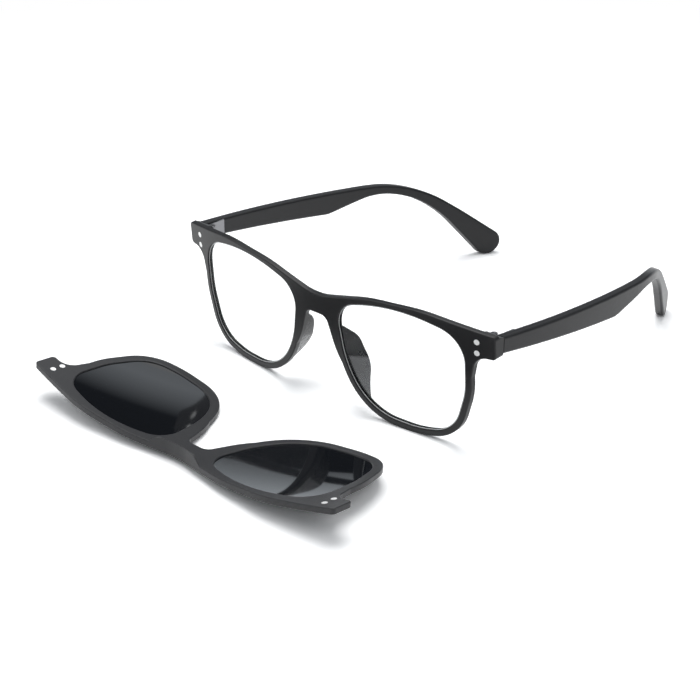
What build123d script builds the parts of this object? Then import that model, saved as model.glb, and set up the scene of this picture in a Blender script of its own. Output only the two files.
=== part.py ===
from build123d import *
import math
import os

# Eyeglasses with a magnetic sun clip, in millimetres, +Z up.
# The glasses stand open on their lower rims and ear tips, facing -Y.
# The clip lies before them with its inner face up.
# The origin is on the floor, under the middle of the whole set.

# Driving sizes of the front
lens_width = 48.0
lens_height = 39.9
lens_spacing = 19.4
rim_width = 2.2
front_thickness = 1.9
end_reach = 10.5
wrap_radius = 283.0
face_tilt = 4.5
groove_depth = 0.7
lens_thickness = 1.0
edge_radius = 0.4

# Bridge and brow
bridge_top_drop = 3.6
bridge_height = 7.0
bridge_flat = 6.0
bridge_top_radius = 20.0
bridge_under_width = 8.6
bridge_under_radius = 3.0
web_width = 1.7
web_radius = 30.0
brow_rise = 2.2
brow_shoulder_rise = 1.0
brow_radius = 60.0
brow_shoulder_share = 0.26
brow_crest_share = 0.68

# End pieces, which reach back to the temple butts
end_height = 7.8
end_drop = 0.7
end_corner_radius = 1.3
notch_radius_share = 0.46
notch_reach_share = 0.36
end_block_width = 6.7
end_block_depth = 4.1
butt_gap = 0.3

# Magnets in the front and in the clip
magnet_inset = 6.2
magnet_pitch = 3.75
magnet_radius = 0.95
magnet_drop = 2.7
frame_magnet_length = 1.6
clip_magnet_length = 1.2
clip_magnet_rise = 0.1

# Sun clip
clip_thickness = 2.0
clip_lens_thickness = 1.1
clip_rim_inset = 1.0
clip_groove_depth = 0.8
clip_edge_radius = 0.3
dock_gap = 0.3
lip_half_width = 12.0
lip_flat = 8.0
lip_depth = 2.9
lip_thickness = 1.0
lip_radius = 5.0
lie_turn = 81.5
lie_reach = 23.3

# Temples
temple_thickness = 3.4
temple_length = 124.0
temple_top = 40.7
temple_bow_radius = 338.0
temple_bow_start = 3.6
temple_bow_angle = 12.4
ear_bend_radius = 70.0
ear_bend_angle = 18.2
temple_edge_radius = 0.8

# Hinges, of five knuckles each
knuckle_radius = 1.2
knuckle_height = 0.94
knuckle_gap = 0.05
leaf_thickness = 0.9
leaf_sink = 0.45
leaf_margin = 0.3
temple_leaf_length = 8.0
hinge_inset = 1.75
hinge_setback = 1.5
screw_radius = 0.6
screw_fit = 0.03
screw_head_radius = 1.15
screw_head_height = 0.6
driver_slot_width = 0.3
driver_slot_depth = 0.3

# Nose pads
pad_depth = 8.0
pad_thickness = 1.6
pad_flare = 8.0
pad_edge_radius = 0.45

# Places that follow from the sizes
overrun = 60.0
front_y = -34.8
front_lift = -0.245
lens_inner = lens_spacing / 2
lens_outer = lens_inner + lens_width
front_half_width = lens_outer + end_reach
magnet_half_spacing = front_half_width - magnet_inset
lens_bottom = rim_width
lens_top = lens_bottom + lens_height
end_top = lens_top - end_drop
end_bottom = end_top - end_height
notch_radius = notch_radius_share * end_reach
notch_reach = notch_reach_share * end_reach
bridge_top = lens_top - bridge_top_drop
bridge_under = bridge_top - bridge_height
tilt = math.radians(face_tilt)

# The lens outline as corners: share of the lens width, of its height, and how far the rounding reaches along
# the shorter side beside the corner, as a share of that side
lens_corner_shares = (
    (-0.025, 0.877, 0.428),
    (0.472, 1.043, 0.58),
    (1.002, 0.913, 0.485),
    (0.999, 0.446, 0.227),
    (0.906, 0.063, 0.564),
    (0.643, -0.003, 0.33),
    (0.215, 0.017, 0.669),
    (0.040, 0.407, 0.297),
)
web_foot_shares = (0.12, 0.17)
web_waist_share = 0.45
web_waist = lens_bottom + web_waist_share * lens_height

# The temple's side outline from the butt's top round the ear tip: share of its length, of its top height, and
# share of the shorter side beside the corner that the rounding reaches along
temple_side_shares = (
    (0.0, 1.0, 0.0), (0.34, 0.915, 0.1), (0.77, 0.803, 0.644), (0.914, 0.467, 0.083), (1.044, 0.141, 0.446),
    (0.99, -0.064, 0.495), (0.85, 0.477, 0.294), (0.718, 0.785, 0.672), (0.476, 0.678, 0.056), (0.0, 0.863, 0.0),
)

# The nose pad's side outline: share of its length upwards, of its depth backwards, and share of the shorter side
# beside the corner that the rounding reaches along
pad_corner_shares = (
    (-0.50, -0.30, 0.0), (0.47, -0.30, 0.0), (0.47, 0.12, 0.111), (0.11, 1.02, 0.348), (-0.28, 0.83, 0.315),
    (-0.50, 0.15, 0.09),
)
pad_length_share = 0.6
pad_middle_share = 0.36

# The pad's course down the middle of the nasal rim: share of the lens width and of its height
pad_course_shares = ((-0.017, 0.672), (0.043, 0.346), (0.25, 0.04))


def turned(vector):
    """A direction of the worn clip after its turn to the lying pose, about the cross axis."""
    c, s = math.cos(math.radians(lie_turn)), math.sin(math.radians(lie_turn))
    return Vector(vector.X, c * vector.Y - s * vector.Z, s * vector.Y + c * vector.Z)


def plane_pair(origin, up, forward):
    """The face plane and the plan plane of a front, both with X across."""
    return Plane(origin, x_dir=(1, 0, 0), z_dir=forward), Plane(origin, x_dir=(1, 0, 0), z_dir=up)


up_face = Vector(0, -math.sin(tilt), math.cos(tilt))
forward_face = Vector(0, -math.cos(tilt), -math.sin(tilt))
front_origin = Vector(0, front_y, front_lift)
lying_origin = Vector(0, front_y - lie_reach, 0)
worn = plane_pair(front_origin, up_face, forward_face)
lying = plane_pair(lying_origin, turned(up_face), turned(forward_face))


def wrap_plane(planes, across, up, depth):
    """The plane touching the wrapped surface at a place of the face and a depth behind it."""
    face, plan = planes
    turn = math.asin(across / wrap_radius)
    reach = wrap_radius - depth
    origin = face.origin + face.x_dir * (reach * math.sin(turn)) + face.y_dir * up
    origin -= face.z_dir * (wrap_radius - reach * math.cos(turn))
    normal = face.z_dir * math.cos(turn) + face.x_dir * math.sin(turn)
    return Plane(origin, x_dir=face.y_dir, z_dir=normal)


def closed_outline(corners):
    """A closed outline through corners of x, height and rounding radius."""
    FilletPolyline([(x, w) for x, w, r in corners], radius=[r for x, w, r in corners], close=True)


def eased(corners):
    """Corners with a rounding radius, from corners whose rounding reaches along a share of the shorter side."""
    places = [Vector(x, w) for x, w, reach in corners]
    rounded = []
    for place, before, after, corner in zip(places, places[-1:] + places, places[1:] + places[:1], corners):
        half_angle = math.radians((before - place).get_angle(after - place)) / 2
        shorter = min((before - place).length, (after - place).length)
        rounded.append((place.X, place.Y, corner[2] * shorter * math.tan(half_angle)))
    return rounded


def lens_outline(side, margin):
    """One lens outline on the XY plane, grown by margin. side is 1 or -1 along X."""
    with BuildSketch() as outline:
        with BuildLine():
            closed_outline(eased([
                (side * (lens_inner + across * lens_width), lens_bottom + up * lens_height, reach)
                for across, up, reach in lens_corner_shares
            ]))
        make_face()
        if margin:
            offset(amount=margin, mode=Mode.REPLACE)
    return outline.sketch


def brow_corners(bridge_rise):
    """Corners of the brow bar with its bridge and end pieces, first the +X half, then its mirror image."""
    rim_side = lens_outer + rim_width / 2
    foot_across, foot_up = web_foot_shares
    half = [
        (bridge_flat / 2, bridge_top + bridge_rise, bridge_top_radius),
        (lens_inner + brow_shoulder_share * lens_width, lens_top + brow_shoulder_rise, brow_radius),
        (lens_inner + brow_crest_share * lens_width, lens_top + brow_rise, brow_radius),
        (front_half_width, end_top, end_corner_radius),
        (front_half_width, end_bottom, end_corner_radius),
        (lens_outer + notch_reach, end_bottom, notch_radius),
        (rim_side, web_waist, 0),
        (lens_outer - rim_width, web_waist, 0),
        (lens_inner + foot_across * lens_width, lens_bottom + foot_up * lens_height, 0),
        (lens_inner - web_width, web_waist, web_radius),
        (bridge_under_width / 2, bridge_under, bridge_under_radius),
    ]
    return half + [(-x, w, r) for x, w, r in reversed(half)]


def front_outline(bridge_rise, margin):
    """The outer outline of a front on the XY plane, grown by margin."""
    with BuildSketch() as outline:
        for side in (1, -1):
            add(lens_outline(side, rim_width))
        with Locations((0, bridge_under)):
            Rectangle(front_half_width * 2, lens_height, align=(Align.CENTER, Align.MAX), mode=Mode.INTERSECT)
        with BuildLine():
            closed_outline(brow_corners(bridge_rise))
        make_face()
        if margin:
            offset(amount=margin, mode=Mode.REPLACE)
    return outline.sketch


def slab(planes, outline, near, far):
    """What an outline on the XY plane encloses between two depths behind the wrapped surface."""
    face, plan = planes
    with BuildPart() as body:
        with BuildSketch(face):
            add(outline)
        extrude(amount=overrun, both=True)
        with BuildSketch(plan):
            with Locations((0, wrap_radius)):
                Circle(wrap_radius - near)
                Circle(wrap_radius - far, mode=Mode.SUBTRACT)
        extrude(amount=overrun, both=True, mode=Mode.INTERSECT)
    return body.part


def surface_edges(body, planes, depth):
    """The edges of a body that lie on the wrapped surface at a depth."""
    plan = planes[1]

    def off(edge, share):
        place = plan.to_local_coords(edge @ share)
        return abs(wrap_radius - math.hypot(place.X, place.Y - wrap_radius) - depth)

    return [edge for edge in body.edges() if max(off(edge, 0), off(edge, 0.5), off(edge, 1)) < wrap_radius / 1e5]


def save(part, name):
    """Label one finished piece and write it."""
    part.label = name
    export_step(part, f"parts/{name}.step")


def mirrored_part(part):
    """The same piece on the -X side."""
    with BuildPart() as other:
        mirror(part, about=Plane.YZ)
    return other.part


# Lenses of the glasses, and their groove in the front
lens_near = (front_thickness - lens_thickness) / 2
lens_far = lens_near + lens_thickness
lenses = {side: slab(worn, lens_outline(side, groove_depth), lens_near, lens_far) for side in (1, -1)}

# End block, which reaches back from the front to the temple's butt
corner_fall = wrap_radius - math.sqrt(wrap_radius ** 2 - front_half_width ** 2)
corner = worn[0].origin + worn[0].y_dir * end_top - worn[0].z_dir * corner_fall
block_back_y = corner.Y + end_block_depth
with BuildSketch() as end_sketch:
    add(front_outline(0, 0))
    with Locations((front_half_width, end_bottom - edge_radius)):
        Rectangle(end_block_width, lens_height, align=(Align.MAX, Align.MIN), mode=Mode.INTERSECT)
with BuildPart() as end_block:
    add(slab(worn, end_sketch.sketch, 0, front_thickness + end_block_depth * 2))
    split(bisect_by=Plane((0, block_back_y, 0), z_dir=(0, 1, 0)), keep=Keep.BOTTOM)
    split(bisect_by=Plane(corner, x_dir=(1, 0, 0), z_dir=(0, corner.Z - temple_top, end_block_depth)), keep=Keep.BOTTOM)

# Hinge places
temple_inner_x = front_half_width - temple_thickness
hinge_x = temple_inner_x - hinge_inset
hinge_y = block_back_y + hinge_setback
knuckle_step = knuckle_height + knuckle_gap
stack_height = 5 * knuckle_height + 4 * knuckle_gap
block_box = end_block.part.bounding_box()
hinge_low = (block_box.min.Z + temple_top) / 2 - stack_height / 2
hinge_high = hinge_low + stack_height
temple_start_y = block_back_y + butt_gap

# Hinge leaf in the front, with the first, third and fifth knuckle
with BuildPart() as hinge_front:
    leaf_left = front_half_width - end_block_width + leaf_margin
    with BuildSketch(Plane.XY.offset(hinge_low - leaf_margin)):
        with Locations((leaf_left, block_back_y - leaf_thickness)):
            Rectangle(hinge_x + knuckle_radius - leaf_left, leaf_thickness, align=Align.MIN)
    extrude(amount=stack_height + leaf_margin * 2)
    for level in (0, 2, 4):
        with BuildSketch(Plane.XY.offset(hinge_low + level * knuckle_step)):
            with Locations((hinge_x, hinge_y)):
                Circle(knuckle_radius)
            with Locations((hinge_x - knuckle_radius, block_back_y)):
                Rectangle(knuckle_radius * 2, hinge_setback, align=Align.MIN)
        extrude(amount=knuckle_height)
    with BuildSketch(Plane.XY.offset(hinge_low - leaf_margin)):
        with Locations((hinge_x, hinge_y)):
            Circle(screw_radius + screw_fit)
    extrude(amount=stack_height + leaf_margin * 2, mode=Mode.SUBTRACT)

# Hinge leaf on the temple, with the second and fourth knuckle
bow = math.radians(temple_bow_start)
leaf_plane = Plane(
    (temple_inner_x, temple_start_y, hinge_low - leaf_margin),
    x_dir=(math.sin(bow), math.cos(bow), 0),
    z_dir=(0, 0, 1),
)
with BuildPart() as hinge_temple:
    with BuildSketch(leaf_plane):
        with Locations((leaf_margin, leaf_thickness / 2)):
            Rectangle(temple_leaf_length, leaf_thickness, align=(Align.MIN, Align.MAX))
    extrude(amount=stack_height + leaf_margin * 2)
    for level in (1, 3):
        with BuildSketch(Plane.XY.offset(hinge_low + level * knuckle_step)):
            with Locations((hinge_x, hinge_y)):
                Circle(knuckle_radius)
            with Locations((hinge_x, hinge_y - knuckle_radius)):
                Rectangle(hinge_inset - leaf_sink / 2, knuckle_radius * 2, align=Align.MIN)
        extrude(amount=knuckle_height)
    with BuildSketch(Plane.XY.offset(hinge_low - leaf_margin)):
        with Locations((hinge_x, hinge_y)):
            Circle(screw_radius + screw_fit)
    extrude(amount=stack_height + leaf_margin * 2, mode=Mode.SUBTRACT)

# Hinge screw with a slotted head
with BuildPart() as hinge_screw:
    with BuildSketch(Plane.XY.offset(hinge_low)):
        with Locations((hinge_x, hinge_y)):
            Circle(screw_radius)
    extrude(amount=stack_height)
    with BuildSketch(Plane.XY.offset(hinge_high)):
        with Locations((hinge_x, hinge_y)):
            Circle(screw_head_radius)
    extrude(amount=screw_head_height)
    with BuildSketch(Plane.XY.offset(hinge_high + screw_head_height)):
        with Locations((hinge_x, hinge_y)):
            Rectangle(screw_head_radius * 3, driver_slot_width)
    extrude(amount=-driver_slot_depth, mode=Mode.SUBTRACT)


def temple_edge(inset):
    """One side of the temple seen from above: a long bow, a tighter bend behind the ear, and its tip."""
    turn = Vector(math.cos(bow), -math.sin(bow))
    start = Vector(front_half_width, temple_start_y) - turn * inset
    lead = Line(start - Vector(math.sin(bow), math.cos(bow)) * hinge_setback * 2, start)
    long_bow = JernArc(lead @ 1, lead % 1, temple_bow_radius - inset, temple_bow_angle)
    ear_bend = JernArc(long_bow @ 1, long_bow % 1, ear_bend_radius - inset, ear_bend_angle)
    tip = Line(ear_bend @ 1, ear_bend @ 1 + (ear_bend % 1) * temple_length / 2)
    return lead @ 0, tip @ 1


# Temple: its side outline, kept where it meets the curved band seen from above
with BuildPart() as temple:
    with BuildSketch(Plane.YZ):
        with BuildLine():
            closed_outline(eased([
                (temple_start_y + along * temple_length, up * temple_top, reach)
                for along, up, reach in temple_side_shares
            ]))
        make_face()
    extrude(amount=front_half_width * 2)
    with BuildSketch(Plane.XY):
        with BuildLine():
            outer_start, outer_end = temple_edge(0)
            inner_start, inner_end = temple_edge(temple_thickness)
            Line(outer_start, inner_start)
            Line(outer_end, inner_end)
        make_face()
    extrude(amount=overrun, mode=Mode.INTERSECT)
    long_edges = temple.edges().filter_by(Axis.Z, reverse=True).filter_by_position(
        Axis.Y, temple_start_y + edge_radius, temple_start_y + temple_length * 2)
    fillet(long_edges, temple_edge_radius)
    add(hinge_temple, mode=Mode.SUBTRACT)

# Magnets: short discs, flush with the front and a little proud of the clip's inner face
magnet_up = {"upper": end_top - magnet_drop, "lower": end_top - magnet_drop - magnet_pitch}


def magnet_discs(planes, depth, length):
    """The four discs from a depth behind the wrapped surface. A positive length reaches forward."""
    discs = {}
    for side_name, side in (("right", -1), ("left", 1)):
        for level_name, up in magnet_up.items():
            with BuildPart() as disc:
                with BuildSketch(wrap_plane(planes, side * magnet_half_spacing, up, depth)):
                    Circle(magnet_radius)
                extrude(amount=length)
            discs[side_name + "_" + level_name] = disc.part
    return discs


frame_magnets = magnet_discs(worn, 0, -frame_magnet_length)
clip_magnets = magnet_discs(lying, clip_magnet_rise - dock_gap, clip_magnet_length)

# Front of the glasses
with BuildPart() as front_frame:
    add(slab(worn, front_outline(0, 0), 0, front_thickness))
    add(end_block.part)
    mirror(end_block.part, about=Plane.YZ)
    for side in (1, -1):
        add(slab(worn, lens_outline(side, 0), -front_thickness, front_thickness * 3), mode=Mode.SUBTRACT)
    fillet(surface_edges(front_frame, worn, 0), edge_radius)
    for side in (1, -1):
        add(lenses[side], mode=Mode.SUBTRACT)
    add(hinge_front.part, mode=Mode.SUBTRACT)
    mirror(hinge_front.part, about=Plane.YZ, mode=Mode.SUBTRACT)
    for disc in frame_magnets.values():
        add(disc, mode=Mode.SUBTRACT)

# Nose pad: a fin that follows the nasal rim behind its back face and flares outwards
flare = math.radians(pad_flare)
pad_reach = Vector(math.sin(flare), 0, 0) - worn[0].z_dir * math.cos(flare)
pad_length = pad_length_share * lens_height
pad_face = worn[0].offset(-front_thickness)
pad_origin = pad_face.origin + pad_face.y_dir * (lens_bottom + pad_middle_share * lens_height)
with BuildPart() as nose_pad:
    with BuildSketch(pad_face):
        with BuildLine():
            ThreePointArc([
                (lens_inner + across * lens_width, lens_bottom + up * lens_height) for across, up in pad_course_shares
            ])
        trace(line_width=pad_thickness)
    extrude(amount=overrun, dir=pad_reach, both=True)
    with BuildSketch(Plane(pad_origin, x_dir=-pad_face.z_dir, z_dir=(-1, 0, 0))):
        with BuildLine():
            closed_outline(eased([
                (back * pad_depth, up * pad_length, reach) for up, back, reach in pad_corner_shares
            ]))
        make_face()
    extrude(amount=overrun, both=True, mode=Mode.INTERSECT)
    with BuildSketch(worn[1]):
        with Locations((0, wrap_radius)):
            Circle(wrap_radius - front_thickness)
    extrude(amount=overrun, both=True, mode=Mode.INTERSECT)
    root_edges = surface_edges(nose_pad, worn, front_thickness)
    fillet([edge for edge in nose_pad.edges() if edge not in root_edges], pad_edge_radius)

# Sun clip frame with the bell-shaped lip that hooks over the bridge
lip_rise = dock_gap + lip_thickness
clip_outline = front_outline(lip_rise, 0)
clip_near = -dock_gap - clip_thickness
with BuildSketch() as lip_outline:
    add(clip_outline)
    add(front_outline(0, dock_gap), mode=Mode.SUBTRACT)
with BuildPart() as clip_lip:
    add(slab(lying, lip_outline.sketch, clip_near, lip_depth - dock_gap))
    with BuildSketch(lying[1]):
        with BuildLine():
            closed_outline([
                (lip_half_width, clip_near, 0),
                (lip_half_width, -dock_gap, 0),
                (lip_flat, lip_depth - dock_gap, lip_radius),
                (-lip_flat, lip_depth - dock_gap, lip_radius),
                (-lip_half_width, -dock_gap, 0),
                (-lip_half_width, clip_near, 0),
            ])
        make_face()
    extrude(amount=overrun, both=True, mode=Mode.INTERSECT)
clip_middle = -dock_gap - clip_thickness / 2
clip_lens_near = clip_middle - clip_lens_thickness / 2
clip_lens_far = clip_middle + clip_lens_thickness / 2
clip_lens_margin = clip_groove_depth - clip_rim_inset
clip_lenses = {
    side: slab(lying, lens_outline(side, clip_lens_margin), clip_lens_near, clip_lens_far) for side in (1, -1)
}
with BuildPart() as clip_frame:
    add(slab(lying, clip_outline, clip_near, -dock_gap))
    add(clip_lip.part)
    for side in (1, -1):
        add(slab(lying, lens_outline(side, -clip_rim_inset), clip_near * 2, 0), mode=Mode.SUBTRACT)
    clip_edges = surface_edges(clip_frame, lying, clip_near)
    for edge in surface_edges(clip_frame, lying, -dock_gap):
        beside_lip = max(abs((edge @ 0).X), abs((edge @ 1).X)) > lip_half_width + clip_edge_radius / 2
        below_lip = lying[0].to_local_coords(edge.center()).Y < (bridge_top + bridge_under) / 2
        if beside_lip or below_lip:
            clip_edges.append(edge)
    fillet(clip_edges, clip_edge_radius)
    for side in (1, -1):
        add(clip_lenses[side], mode=Mode.SUBTRACT)
    for disc in clip_magnets.values():
        add(disc, mode=Mode.SUBTRACT)
lie_lift = -clip_frame.part.bounding_box().min.Z


def lifted(part):
    """A piece of the clip raised so that the clip lies on the floor."""
    with BuildPart() as raised:
        with Locations((0, 0, lie_lift)):
            add(part)
    return raised.part


# Every piece under its own name. The wearer's right is at -X.
os.makedirs("parts", exist_ok=True)
save(front_frame.part, "front_frame")
save(lifted(clip_frame.part), "clip_frame")
save(lenses[-1], "lens_right")
save(lenses[1], "lens_left")
save(lifted(clip_lenses[-1]), "clip_lens_right")
save(lifted(clip_lenses[1]), "clip_lens_left")
for piece_name, piece in (
    ("nose_pad", nose_pad.part), ("hinge_front", hinge_front.part), ("hinge_temple", hinge_temple.part),
    ("hinge_screw", hinge_screw.part), ("temple", temple.part),
):
    save(mirrored_part(piece), piece_name + "_right")
    save(piece, piece_name + "_left")
for place_name, disc in frame_magnets.items():
    save(disc, "frame_magnet_" + place_name)
for place_name, disc in clip_magnets.items():
    save(lifted(disc), "clip_magnet_" + place_name)
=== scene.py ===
import math

import bmesh
import bpy
import numpy as np
from mathutils import Matrix, Vector


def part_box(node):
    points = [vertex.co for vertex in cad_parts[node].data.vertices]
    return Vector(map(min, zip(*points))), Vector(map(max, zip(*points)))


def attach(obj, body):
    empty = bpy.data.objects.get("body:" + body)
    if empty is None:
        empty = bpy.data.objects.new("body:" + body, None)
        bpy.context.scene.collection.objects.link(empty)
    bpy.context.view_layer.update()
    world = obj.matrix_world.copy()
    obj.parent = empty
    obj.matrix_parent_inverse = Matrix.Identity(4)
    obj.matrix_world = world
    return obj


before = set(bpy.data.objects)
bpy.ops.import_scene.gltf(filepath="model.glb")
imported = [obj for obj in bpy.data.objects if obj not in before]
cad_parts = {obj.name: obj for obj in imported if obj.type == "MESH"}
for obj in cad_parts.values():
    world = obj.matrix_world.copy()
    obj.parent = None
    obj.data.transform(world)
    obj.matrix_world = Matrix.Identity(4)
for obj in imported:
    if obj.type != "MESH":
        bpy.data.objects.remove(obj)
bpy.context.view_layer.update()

bl_info = {
    "name": "Eyeglasses With Sun Clip",
    "version": (1, 0, 0),
    "blender": (4, 5, 0),
    "location": "3D View > Sidebar > Eyewear",
    "description": "Dresses a pair of glasses and its magnetic sun clip, and sets the stage",
    "category": "Object",
}

# The frame's nodes, by finish
SIDES = ("right", "left")
LEVELS = ("upper", "lower")
FRONT = ["front_frame"]
CLIP = ["clip_frame"]
TEMPLES = ["temple_right", "temple_left"]
CLEAR_LENSES = ["lens_right", "lens_left"]
DARK_LENSES = ["clip_lens_right", "clip_lens_left"]
PADS = ["nose_pad_right", "nose_pad_left"]
HINGES = [f"hinge_{n}_{s}" for n in ("front", "temple", "screw") for s in SIDES]
MAGNETS = [f"{n}_magnet_{s}_{lv}" for n in ("frame", "clip") for s in SIDES for lv in LEVELS]

# Tilt of the worn front and radius of its wrap round the face, as in the solids
FACE_TILT = math.radians(4.5)
WRAP_RADIUS = 0.283

# Plastic: grains across one cell of the noise, a grain's width over its depth, layers of finer
# noise, strength of the bump, and change of roughness to either side
CELL_GRAINS = 4
GRAIN_FLATNESS = 40
GRAIN_DETAIL = 3
GRAIN_BUMP = 0.1
GRAIN_ROUGHNESS = 0.05

# Nose pads: roughness, slope of the line where their painted light ends and they turn dark, and
# half the height of the change
PAD_ROUGHNESS = 0.28
PAD_PAINTED_LIGHT_SLOPE = 0.3
PAD_PAINTED_LIGHT_HALF = 0.0006

# Metal: cells of the polish's noise in a metre, layers of finer noise, and change of roughness as a
# share of it
POLISH_CELLS = 900
POLISH_DETAIL = 2
POLISH_CHANGE = 0.3

# Clear lenses: tint, roughness of the mirror image, its share at a full slant and how late it rises
CLEAR_TINT = (0.985, 0.99, 0.99)
CLEAR_ROUGHNESS = 0.1
CLEAR_SLANT_SHARE = 0.35
CLEAR_SLANT_POWER = 5

# Dark lenses
DARK_ROUGHNESS = 0.05
DARK_SPECULAR = 0.75

# Bevel of the clear lenses: points round it, points to either side for its direction, how far a
# face may look forward and still belong to the lens's edge wall, roughness and share of metal.
# Its pale, partly metal finish is a painted glint where the clear lens edge catches the light
BEVEL_STEPS = 240
BEVEL_REACH = 3
EDGE_WALL_FACING = 0.5
BEVEL_ROUGHNESS = 0.3
BEVEL_GLINT_METAL = 0.3

# Floor and sky: the floor's fade ends at so many times the distance at which it starts
FLOOR_GREY = 0.88
FLOOR_ROUGHNESS = 0.9
FLOOR_SPECULAR = 0.1
FLOOR_FADE_END = 2
SKY_TINT = (0.92, 0.96, 1.0)

# Mirrored wall: sides, tint, and its grey at shares of its height
WALL_STEPS = 96
WALL_TINT = (0.88, 0.94, 1)
WALL_GREYS = (
    (0.0, 0.9), (0.12, 0.7), (0.26, 0.4), (0.27, 0.012), (0.52, 0.02), (0.7, 0.6), (0.85, 1.0),
)

# Lamps: name, the stage's value for their power, width and height, place and aim
LAMPS = (
    ("key", "key_power", (0.9, 0.9), (-0.25, 0.2, 1.25), (0, 0, 0)),
    ("side_left", "fill_power", (0.5, 0.9), (-0.9, -0.5, 0.5), (0, 0, 0.02)),
    ("side_right", "fill_power", (0.5, 0.9), (0.9, -0.2, 0.7), (0, 0, 0.02)),
)

# Camera: its place, the point it looks at, its roll, and its own values in mm and m
CAMERA_PLACE = (0.3859, -0.42374, 0.27859)
CAMERA_AIM = (0.009066, -0.03072, 0.018681)
CAMERA_ROLL = math.radians(0.147)
CAMERA_FOCAL_LENGTH = 96.06
CAMERA_SENSOR = 36
CAMERA_NEAR = 0.01
CAMERA_FAR = 20


class EYEWEAR_PG_plastic(bpy.types.PropertyGroup):
    front_shade: bpy.props.FloatVectorProperty(
        name="Front", description="Colour of the front of the glasses", subtype="COLOR", size=3,
        default=(0.009, 0.009, 0.010), min=0, max=1)
    temple_shade: bpy.props.FloatVectorProperty(
        name="Temples", description="Colour of the temples", subtype="COLOR", size=3,
        default=(0.010, 0.010, 0.011), min=0, max=1)
    clip_shade: bpy.props.FloatVectorProperty(
        name="Clip", description="Colour of the clip's frame", subtype="COLOR", size=3,
        default=(0.028, 0.028, 0.030), min=0, max=1)
    # The nose pads' pale colour below the change is painted light on their lower part; above the
    # change they keep the front's dark colour
    pad_painted_light: bpy.props.FloatVectorProperty(
        name="Nose pads", description="Colour of the nose pads below their change",
        subtype="COLOR", size=3, default=(0.14, 0.14, 0.143), min=0, max=1)
    pad_painted_light_top: bpy.props.FloatProperty(
        name="Pad change", description="Height at which the nose pads turn from pale to dark",
        default=0.0175, min=0, unit="LENGTH")
    roughness: bpy.props.FloatProperty(
        name="Roughness", description="How dull the moulded plastic is", default=0.34, min=0, max=1,
        subtype="FACTOR")
    gloss: bpy.props.FloatProperty(
        name="Gloss", description="How strongly the plastic mirrors", default=0.30, min=0, max=1,
        subtype="FACTOR")
    grain: bpy.props.FloatProperty(
        name="Grain", description="Size of the fine moulding grain", default=0.00025, min=0.00001,
        unit="LENGTH")


class EYEWEAR_PG_metal(bpy.types.PropertyGroup):
    hinge_shade: bpy.props.FloatVectorProperty(
        name="Hinges", description="Colour of the hinges and their screws", subtype="COLOR", size=3,
        default=(0.24, 0.24, 0.25), min=0, max=1)
    hinge_roughness: bpy.props.FloatProperty(
        name="Hinge roughness", description="How dull the hinges are", default=0.35, min=0, max=1,
        subtype="FACTOR")
    magnet_shade: bpy.props.FloatVectorProperty(
        name="Magnets", description="Colour of the magnets' plating", subtype="COLOR", size=3,
        default=(0.86, 0.86, 0.85), min=0, max=1)
    magnet_roughness: bpy.props.FloatProperty(
        name="Magnet roughness", description="How dull the magnets are", default=0.45, min=0, max=1,
        subtype="FACTOR")
    magnet_metal: bpy.props.FloatProperty(
        name="Magnet metal", description="How much of the magnets' plating mirrors as metal does",
        default=0.5, min=0, max=1, subtype="FACTOR")


class EYEWEAR_PG_lens(bpy.types.PropertyGroup):
    dark_shade: bpy.props.FloatVectorProperty(
        name="Dark lens", description="Colour of the clip's lenses", subtype="COLOR", size=3,
        default=(0.006, 0.007, 0.009), min=0, max=1)
    dome_radius: bpy.props.FloatProperty(
        name="Dome radius",
        description="Radius of the dark lenses' up and down curve, as their mirror image shows it",
        default=0.12, min=0.02, unit="LENGTH")
    # The bevel's pale colour is a painted glint, standing in for the light caught by the clear lens
    # edge
    bevel_glint_shade: bpy.props.FloatVectorProperty(
        name="Bevel", description="Colour of the clear lenses' polished bevel", subtype="COLOR",
        size=3, default=(0.55, 0.56, 0.56), min=0, max=1)
    bevel_start: bpy.props.FloatProperty(
        name="Bevel start",
        description="From the lens edge, hidden in the rim's groove, to the bevel",
        default=0.00068, min=0, unit="LENGTH")
    bevel_width: bpy.props.FloatProperty(
        name="Bevel width", description="Width of the clear lenses' bevel", default=0.00028,
        min=0.00005, unit="LENGTH")
    bevel_lift: bpy.props.FloatProperty(
        name="Bevel lift", description="How far the bevel stands out of the lens face",
        default=0.00004, min=0.00001, unit="LENGTH")
    clear_reflection: bpy.props.FloatProperty(
        name="Clear reflection", description="Share of light a clear lens mirrors straight on",
        default=0.006, min=0, max=1, subtype="FACTOR")


class EYEWEAR_PG_stage(bpy.types.PropertyGroup):
    floor_size: bpy.props.FloatProperty(
        name="Floor", description="Side length of the floor", default=6.0, min=1, unit="LENGTH")
    floor_fade: bpy.props.FloatProperty(
        name="Floor fade",
        description="Distance from the middle at which the floor starts to fade to plain white",
        default=0.25, min=0.05, unit="LENGTH")
    wall_radius: bpy.props.FloatProperty(
        name="Mirrored wall", description="Distance of the wall that only mirror images show",
        default=1.5, min=0.5, unit="LENGTH")
    floor_white: bpy.props.FloatProperty(
        name="Floor white", description="White added to the floor as it is seen, not as it lights",
        default=0.36, min=0, max=1, subtype="FACTOR")
    key_power: bpy.props.FloatProperty(
        name="Key light", description="Power of the large overhead light", default=12.0, min=0,
        unit="POWER")
    fill_power: bpy.props.FloatProperty(
        name="Fill light", description="Power of each side light", default=2.5, min=0, unit="POWER")
    sky: bpy.props.FloatProperty(
        name="Sky", description="Strength of the even light from all around", default=0.38, min=0)


def add_object(name, data):
    """A new object in the scene, at the origin."""
    item = bpy.data.objects.new(name, data)
    bpy.context.scene.collection.objects.link(item)
    return item


def shader(name):
    """A new node material with only its Principled shader and output, its tree and the shader."""
    material = bpy.data.materials.new(name)
    material.use_nodes = True
    tree = material.node_tree
    return material, tree, tree.nodes["Principled BSDF"]


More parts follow.
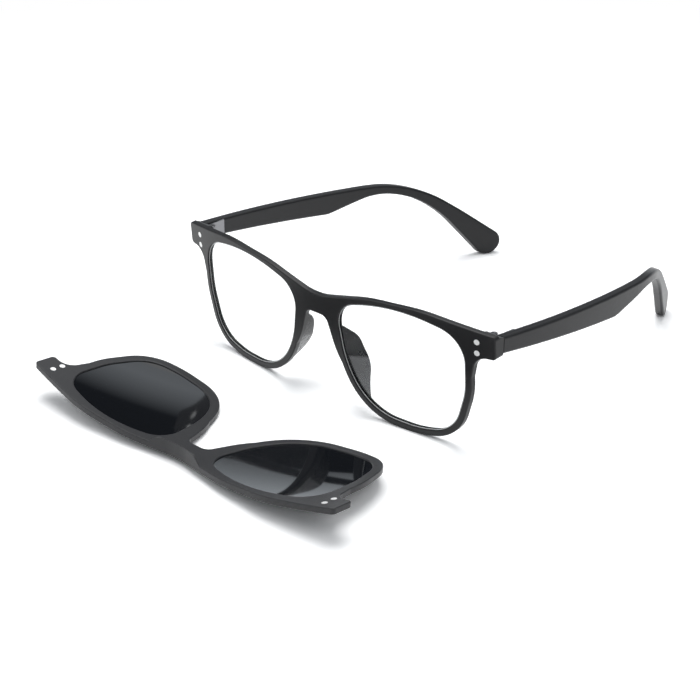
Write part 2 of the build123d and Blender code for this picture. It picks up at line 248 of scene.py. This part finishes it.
def set_surface(tree, surface):
    """Make a shader the surface of its material or world."""
    output = [node for node in tree.nodes if node.type in ("OUTPUT_MATERIAL", "OUTPUT_WORLD")][0]
    tree.links.new(surface, output.inputs["Surface"])


def calc(tree, operation, first, second):
    """One calculation with two values, each a socket or a number."""
    node = tree.nodes.new("ShaderNodeMath")
    node.operation = operation
    for socket, value in zip(node.inputs, (first, second)):
        if isinstance(value, (int, float)):
            socket.default_value = value
        else:
            tree.links.new(value, socket)
    return node.outputs["Value"]


def spread(tree, value, low, high, start=0, end=1, smooth=False):
    """A value that runs from start to end, made to run from low to high and held there."""
    node = tree.nodes.new("ShaderNodeMapRange")
    if smooth:
        node.interpolation_type = "SMOOTHSTEP"
    limits = {"From Min": start, "From Max": end, "To Min": low, "To Max": high}
    for socket, number in limits.items():
        node.inputs[socket].default_value = number
    tree.links.new(value, node.inputs["Value"])
    return node.outputs["Result"]


def axes(tree, place="Object"):
    """The X, Y and Z values of a texture coordinate."""
    source = tree.nodes.new("ShaderNodeTexCoord")
    parts = tree.nodes.new("ShaderNodeSeparateXYZ")
    tree.links.new(source.outputs[place], parts.inputs["Vector"])
    return parts.outputs


def cloud(tree, cells, detail):
    """Random values from 0 to 1 in small soft cells, as many in a metre as asked."""
    place = tree.nodes.new("ShaderNodeTexCoord")
    noise = tree.nodes.new("ShaderNodeTexNoise")
    noise.inputs["Scale"].default_value = cells
    noise.inputs["Detail"].default_value = detail
    tree.links.new(place.outputs["Object"], noise.inputs["Vector"])
    return noise.outputs["Fac"]


def blend(tree, share, first, second):
    """Two shaders mixed: the share is the second one's."""
    mix = tree.nodes.new("ShaderNodeMixShader")
    tree.links.new(share, mix.inputs["Fac"])
    tree.links.new(first, mix.inputs[1])
    tree.links.new(second, mix.inputs[2])
    return mix.outputs["Shader"]


def plastic(name, shade, roughness, gloss, grain, bump=GRAIN_BUMP):
    """Moulded plastic: an even colour with a fine random grain in its roughness and surface."""
    material, tree, bsdf = shader(name)
    bsdf.inputs["Base Color"].default_value = (*shade, 1)
    bsdf.inputs["Specular IOR Level"].default_value = gloss
    grains = cloud(tree, 1 / grain / CELL_GRAINS, GRAIN_DETAIL)
    dull = spread(tree, grains, roughness - GRAIN_ROUGHNESS, roughness + GRAIN_ROUGHNESS)
    tree.links.new(dull, bsdf.inputs["Roughness"])
    lift = tree.nodes.new("ShaderNodeBump")
    lift.inputs["Strength"].default_value = bump
    lift.inputs["Distance"].default_value = grain / GRAIN_FLATNESS
    tree.links.new(grains, lift.inputs["Height"])
    tree.links.new(lift.outputs["Normal"], bsdf.inputs["Normal"])
    return material


def pad_with_painted_light(name, shade, dark, change, middle, gloss, grain):
    """Nose pads' plastic: pale with painted light below a slanting line, and dark above it."""
    material = plastic(name, shade, PAD_ROUGHNESS, gloss, grain, bump=0)
    tree = material.node_tree
    at = axes(tree)
    slant = calc(tree, "MULTIPLY", calc(tree, "SUBTRACT", at["Y"], middle), PAD_PAINTED_LIGHT_SLOPE)
    height = calc(tree, "ADD", at["Z"], slant)
    # Painted light below the slanting line, the pads' own dark colour above it
    mix = tree.nodes.new("ShaderNodeMix")
    mix.data_type = "RGBA"
    mix.inputs["A"].default_value = (*shade, 1)
    mix.inputs["B"].default_value = (*dark, 1)
    low, high = change - PAD_PAINTED_LIGHT_HALF, change + PAD_PAINTED_LIGHT_HALF
    share = spread(tree, height, 0, 1, low, high, smooth=True)
    tree.links.new(share, mix.inputs["Factor"])
    colour = [socket for socket in mix.outputs if socket.type == "RGBA"][0]
    tree.links.new(colour, tree.nodes["Principled BSDF"].inputs["Base Color"])
    return material


def metal(name, shade, roughness, share=1.0):
    """Plated metal with faint clouds in its polish. A share below 1 looks like worn plating; the
    clear lenses' bevel uses it for a painted glint.
    """
    material, tree, bsdf = shader(name)
    bsdf.inputs["Base Color"].default_value = (*shade, 1)
    bsdf.inputs["Metallic"].default_value = share
    clouds = cloud(tree, POLISH_CELLS, POLISH_DETAIL)
    dull = spread(tree, clouds, roughness * (1 - POLISH_CHANGE), roughness * (1 + POLISH_CHANGE))
    tree.links.new(dull, bsdf.inputs["Roughness"])
    return material


def clear_lens(name, least):
    """A thin clear lens: it lets light through and mirrors a little, more at a slant."""
    material, tree, bsdf = shader(name)
    tree.nodes.remove(bsdf)
    through = tree.nodes.new("ShaderNodeBsdfTransparent")
    through.inputs["Color"].default_value = (*CLEAR_TINT, 1)
    mirror = tree.nodes.new("ShaderNodeBsdfGlossy")
    mirror.inputs["Roughness"].default_value = CLEAR_ROUGHNESS
    facing = tree.nodes.new("ShaderNodeLayerWeight").outputs["Facing"]
    rise = calc(tree, "POWER", facing, CLEAR_SLANT_POWER)
    share = spread(tree, rise, least, CLEAR_SLANT_SHARE)
    set_surface(tree, blend(tree, share, through.outputs["BSDF"], mirror.outputs["BSDF"]))
    return material


def dark_lens(name, shade, middle, dome_radius):
    """A dark polished lens whose mirror image bends as on a dome, on both of its faces.

    Height of the dome = y * y / (2 * dome radius), with y from the lens's middle.
    """
    material, tree, bsdf = shader(name)
    bsdf.inputs["Base Color"].default_value = (*shade, 1)
    bsdf.inputs["Roughness"].default_value = DARK_ROUGHNESS
    bsdf.inputs["Specular IOR Level"].default_value = DARK_SPECULAR
    looks_up = calc(tree, "GREATER_THAN", axes(tree, "Normal")["Z"], 0)
    inner = calc(tree, "SUBTRACT", calc(tree, "MULTIPLY", looks_up, 2), 1)
    away = calc(tree, "SUBTRACT", axes(tree)["Y"], middle)
    square = calc(tree, "MULTIPLY", away, away)
    height = calc(tree, "MULTIPLY", square, calc(tree, "DIVIDE", inner, 2 * dome_radius))
    dome = tree.nodes.new("ShaderNodeBump")
    dome.inputs["Strength"].default_value = 1
    dome.inputs["Distance"].default_value = 1
    tree.links.new(height, dome.inputs["Height"])
    tree.links.new(dome.outputs["Normal"], bsdf.inputs["Normal"])
    return material


def rim_loop(node, steps):
    """Evenly spaced points round the front outer edge of a lens, and where its face looks there.

    The edge is the front half of the lens's edge wall, in order of its angle round the middle.
    Direction of the face = (x / wrap radius, forward y, forward z), scaled to a length of one.
    """
    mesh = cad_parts[node].data
    forward = np.array([0, -math.cos(FACE_TILT), -math.sin(FACE_TILT)])
    rise = np.array([0, -math.sin(FACE_TILT), math.cos(FACE_TILT)])
    walls = [face for face in mesh.polygons if abs(np.dot(face.normal, forward)) < EDGE_WALL_FACING]
    corners = {corner for face in walls for corner in face.vertices}
    points = np.array([mesh.vertices[corner].co for corner in sorted(corners)])
    depth = points @ forward - np.sqrt(WRAP_RADIUS ** 2 - points[:, 0] ** 2)
    points = points[depth > (depth.min() + depth.max()) / 2]
    away = points - (points.min(0) + points.max(0)) / 2
    order = np.argsort(np.arctan2(away @ rise, away[:, 0]))
    loop = np.concatenate([points[order], points[order[:1]]])
    sides = np.linalg.norm(np.diff(loop, axis=0), axis=1)
    along = np.concatenate([[0], np.cumsum(sides)])
    at = np.linspace(0, along[-1], steps, endpoint=False)
    even = np.stack([np.interp(at, along, loop[:, axis]) for axis in range(3)], 1)
    looks = np.stack([even[:, 0] / WRAP_RADIUS, *(np.full(steps, part) for part in forward[1:])], 1)
    return even, looks / np.linalg.norm(looks, axis=1, keepdims=True)


def bevel(node, start, width, lift):
    """The polished bevel of a clear lens, a flat ring just inside the rim, with a painted glint.

    Point = edge + inward * (start or start + width) + face direction * (lift or -lift), for the
    four corners of its section.
    """
    edge, face = rim_loop(node, BEVEL_STEPS)
    tangent = np.roll(edge, -BEVEL_REACH, 0) - np.roll(edge, BEVEL_REACH, 0)
    inward = np.cross(face, tangent)
    inward /= np.linalg.norm(inward, axis=1, keepdims=True)
    inward *= np.sign(((edge.mean(0) - edge) * inward).sum())
    section = ((start, lift), (start + width, lift), (start + width, -lift), (start, -lift))
    count = len(section)
    points = np.stack([edge + inward * reach + face * up for reach, up in section], 1)
    step, corner = np.meshgrid(np.arange(BEVEL_STEPS), np.arange(count), indexing="ij")
    here, ahead = step * count, (step + 1) % BEVEL_STEPS * count
    turn = (corner + 1) % count
    faces = np.stack([here + corner, here + turn, ahead + turn, ahead + corner], -1).reshape(-1, 4)
    mesh = bpy.data.meshes.new("bevel_" + node)
    mesh.from_pydata(points.reshape(-1, 3).tolist(), [], faces.tolist())
    shape = bmesh.new()
    shape.from_mesh(mesh)
    bmesh.ops.recalc_face_normals(shape, faces=shape.faces)
    shape.to_mesh(mesh)
    shape.free()
    return add_object("bevel_" + node, mesh)


def wear(nodes, material):
    """Give nodes of the frame one material."""
    for name in nodes:
        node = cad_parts[name]
        node.data.materials.clear()
        node.data.materials.append(material)


def middle_y(node):
    """The middle of a node from front to back."""
    low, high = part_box(node)
    return (low[1] + high[1]) / 2


class EYEWEAR_OT_glasses(bpy.types.Operator):
    """Dress the front, temples, nose pads with painted light on their lower part, hinges and
    magnets
    """
    bl_idname = "eyewear.glasses"
    bl_label = "Glasses"

    def execute(self, context):
        look = context.scene.eyewear_plastic
        fine = look.gloss, look.grain
        wear(FRONT, plastic("front_plastic", look.front_shade, look.roughness, *fine))
        wear(TEMPLES, plastic("temple_plastic", look.temple_shade, look.roughness, *fine))
        # Painted light on the pads' lower part, and the front's dark colour above it
        shades = look.pad_painted_light, look.front_shade
        wear(PADS, pad_with_painted_light("pad_plastic", *shades, look.pad_painted_light_top, middle_y(PADS[0]), *fine))
        plate = context.scene.eyewear_metal
        wear(HINGES, metal("hinge_steel", plate.hinge_shade, plate.hinge_roughness))
        nickel = plate.magnet_shade, plate.magnet_roughness, plate.magnet_metal
        wear(MAGNETS, metal("magnet_nickel", *nickel))
        return {"FINISHED"}


class EYEWEAR_OT_clip(bpy.types.Operator):
    """Dress the clip's frame"""
    bl_idname = "eyewear.clip"
    bl_label = "Sun clip"

    def execute(self, context):
        look = context.scene.eyewear_plastic
        wear(CLIP, plastic("clip_plastic", look.clip_shade, look.roughness, look.gloss, look.grain))
        return {"FINISHED"}


class EYEWEAR_OT_lenses(bpy.types.Operator):
    """Dress the clear lenses, add their polished bevels with a painted glint, and dress the dark
    lenses
    """
    bl_idname = "eyewear.lenses"
    bl_label = "Lenses"

    def execute(self, context):
        look = context.scene.eyewear_lens
        wear(CLEAR_LENSES, clear_lens("clear_lens", look.clear_reflection))
        # The bevel's pale, partly metal finish is a painted glint along the clear lens edge
        polished = metal("bevel_polish", look.bevel_glint_shade, BEVEL_ROUGHNESS, BEVEL_GLINT_METAL)
        for node in CLEAR_LENSES:
            ring = bevel(node, look.bevel_start, look.bevel_width, look.bevel_lift)
            ring.data.materials.append(polished)
            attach(ring, "front")
        middle = middle_y(DARK_LENSES[0])
        wear(DARK_LENSES, dark_lens("dark_lens", look.dark_shade, middle, look.dome_radius))
        return {"FINISHED"}


def white_seen(tree, shading, seen):
    """Rays from the camera, mirrors and clear pieces meet the seen shader, others the first."""
    ray = tree.nodes.new("ShaderNodeLightPath").outputs
    straight = calc(tree, "MAXIMUM", ray["Is Camera Ray"], ray["Is Transmission Ray"])
    return blend(tree, calc(tree, "MAXIMUM", straight, ray["Is Glossy Ray"]), shading, seen)


def white_floor(size, white, fade):
    """A square floor. As it is seen, it is whiter than it lights, and far off it is plain white."""
    half = size / 2
    corners = [(-half, -half, 0), (half, -half, 0), (half, half, 0), (-half, half, 0)]
    mesh = bpy.data.meshes.new("floor")
    mesh.from_pydata(corners, [], [(0, 1, 2, 3)])
    material, tree, bsdf = shader("floor_white")
    bsdf.inputs["Base Color"].default_value = (FLOOR_GREY, FLOOR_GREY, FLOOR_GREY, 1)
    bsdf.inputs["Roughness"].default_value = FLOOR_ROUGHNESS
    bsdf.inputs["Specular IOR Level"].default_value = FLOOR_SPECULAR
    more = tree.nodes.new("ShaderNodeBsdfDiffuse")
    more.inputs["Color"].default_value = (white, white, white, 1)
    near = tree.nodes.new("ShaderNodeAddShader")
    tree.links.new(bsdf.outputs["BSDF"], near.inputs[0])
    tree.links.new(more.outputs["BSDF"], near.inputs[1])
    far = tree.nodes.new("ShaderNodeEmission")
    place = tree.nodes.new("ShaderNodeTexCoord")
    reach = tree.nodes.new("ShaderNodeVectorMath")
    reach.operation = "LENGTH"
    tree.links.new(place.outputs["Object"], reach.inputs[0])
    share = spread(tree, reach.outputs["Value"], 0, 1, fade, fade * FLOOR_FADE_END, smooth=True)
    seen = blend(tree, share, near.outputs["Shader"], far.outputs["Emission"])
    set_surface(tree, white_seen(tree, bsdf.outputs["BSDF"], seen))
    mesh.materials.append(material)
    return add_object("floor", mesh)


def even_sky(strength):
    """An even pale sky that lights the scene and is seen as plain white."""
    world = bpy.data.worlds.new("sky")
    world.use_nodes = True
    tree = world.node_tree
    tree.nodes.clear()
    tree.nodes.new("ShaderNodeOutputWorld")
    shades = []
    for tint, power in ((SKY_TINT, strength), ((1, 1, 1), 1)):
        shade = tree.nodes.new("ShaderNodeBackground")
        shade.inputs["Color"].default_value = (*tint, 1)
        shade.inputs["Strength"].default_value = power
        shades.append(shade.outputs["Background"])
    set_surface(tree, white_seen(tree, *shades))
    return world


def mirror_wall(radius):
    """A round wall, as high as its radius, that only mirror images show.

    Point = (radius * cos a, radius * sin a, 0 or radius). It is pale up to a low edge, dark above
    it, and grows white towards the top.
    """
    around = np.linspace(0, 2 * np.pi, WALL_STEPS, endpoint=False)
    foot = np.stack([radius * np.cos(around), radius * np.sin(around), np.zeros(WALL_STEPS)], 1)
    step = np.arange(WALL_STEPS)
    after = (step + 1) % WALL_STEPS
    faces = np.stack([step, step + WALL_STEPS, after + WALL_STEPS, after], 1)
    mesh = bpy.data.meshes.new("mirror_wall")
    mesh.from_pydata(np.concatenate([foot, foot + (0, 0, radius)]).tolist(), [], faces.tolist())
    material, tree, bsdf = shader("mirror_wall")
    tree.nodes.remove(bsdf)
    ramp = tree.nodes.new("ShaderNodeValToRGB")
    points = ramp.color_ramp.elements
    while len(points) < len(WALL_GREYS):
        points.new(1.0)
    for point, (height, grey) in zip(points, WALL_GREYS):
        point.position = height
        point.color = (*(grey * tint for tint in WALL_TINT), 1)
    tree.links.new(calc(tree, "DIVIDE", axes(tree)["Z"], radius), ramp.inputs["Fac"])
    glow = tree.nodes.new("ShaderNodeEmission")
    tree.links.new(ramp.outputs["Color"], glow.inputs["Color"])
    set_surface(tree, glow.outputs["Emission"])
    mesh.materials.append(material)
    wall = add_object("mirror_wall", mesh)
    wall.visible_camera = wall.visible_diffuse = False
    wall.visible_transmission = wall.visible_shadow = False
    return wall


def area_light(name, power, size, place, aim):
    """One soft rectangular lamp, aimed at a point."""
    lamp = bpy.data.lights.new(name, "AREA")
    lamp.energy = power
    lamp.shape = "RECTANGLE"
    lamp.size, lamp.size_y = size
    holder = add_object(name, lamp)
    holder.location = place
    holder.rotation_euler = (Vector(aim) - Vector(place)).to_track_quat("-Z", "Y").to_euler()
    return holder


def photo_camera():
    """The camera at the photo's viewing angle."""
    view = bpy.data.cameras.new("camera")
    view.lens = CAMERA_FOCAL_LENGTH
    view.sensor_width = CAMERA_SENSOR
    view.clip_start = CAMERA_NEAR
    view.clip_end = CAMERA_FAR
    camera = add_object("camera", view)
    place = Vector(CAMERA_PLACE)
    turn = (Vector(CAMERA_AIM) - place).to_track_quat("-Z", "Y").to_matrix()
    turn = turn @ Matrix.Rotation(CAMERA_ROLL, 3, "Z")
    camera.matrix_world = Matrix.Translation(place) @ turn.to_4x4()
    return camera


class EYEWEAR_OT_stage(bpy.types.Operator):
    """Build the floor, the sky, the mirrored wall, the lamps and the camera"""
    bl_idname = "eyewear.stage"
    bl_label = "Stage"

    def execute(self, context):
        scene = context.scene
        look = scene.eyewear_stage
        floor = white_floor(look.floor_size, look.floor_white, look.floor_fade)
        scene.world = even_sky(look.sky)
        wall = mirror_wall(look.wall_radius)
        lamps = [area_light(name, getattr(look, power), *rest) for name, power, *rest in LAMPS]
        scene.camera = photo_camera()
        scene.view_settings.view_transform = "Standard"
        return {"FINISHED"}


GROUPS = {
    "eyewear_plastic": EYEWEAR_PG_plastic, "eyewear_metal": EYEWEAR_PG_metal,
    "eyewear_lens": EYEWEAR_PG_lens, "eyewear_stage": EYEWEAR_PG_stage,
}
STEPS = (EYEWEAR_OT_glasses, EYEWEAR_OT_clip, EYEWEAR_OT_lenses, EYEWEAR_OT_stage)


class EYEWEAR_PT_panel(bpy.types.Panel):
    """The sizes, colours and steps in the sidebar"""
    bl_label = "Eyewear"
    bl_idname = "EYEWEAR_PT_panel"
    bl_space_type = "VIEW_3D"
    bl_region_type = "UI"
    bl_category = "Eyewear"

    def draw(self, context):
        for name, group in GROUPS.items():
            for key in group.__annotations__:
                self.layout.prop(getattr(context.scene, name), key)
        for step in STEPS:
            self.layout.operator(step.bl_idname)


def register():
    """Make the classes and the scene's values known."""
    for cls in (*GROUPS.values(), *STEPS, EYEWEAR_PT_panel):
        bpy.utils.register_class(cls)
    for name, group in GROUPS.items():
        setattr(bpy.types.Scene, name, bpy.props.PointerProperty(type=group))


def unregister():
    """Take the scene's values and the classes away again."""
    for name in GROUPS:
        delattr(bpy.types.Scene, name)
    for cls in (EYEWEAR_PT_panel, *reversed(STEPS), *reversed(GROUPS.values())):
        bpy.utils.unregister_class(cls)


def main():
    """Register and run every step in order."""
    register()
    bpy.ops.eyewear.glasses()
    bpy.ops.eyewear.clip()
    bpy.ops.eyewear.lenses()
    bpy.ops.eyewear.stage()


if __name__ == "__main__":
    main()
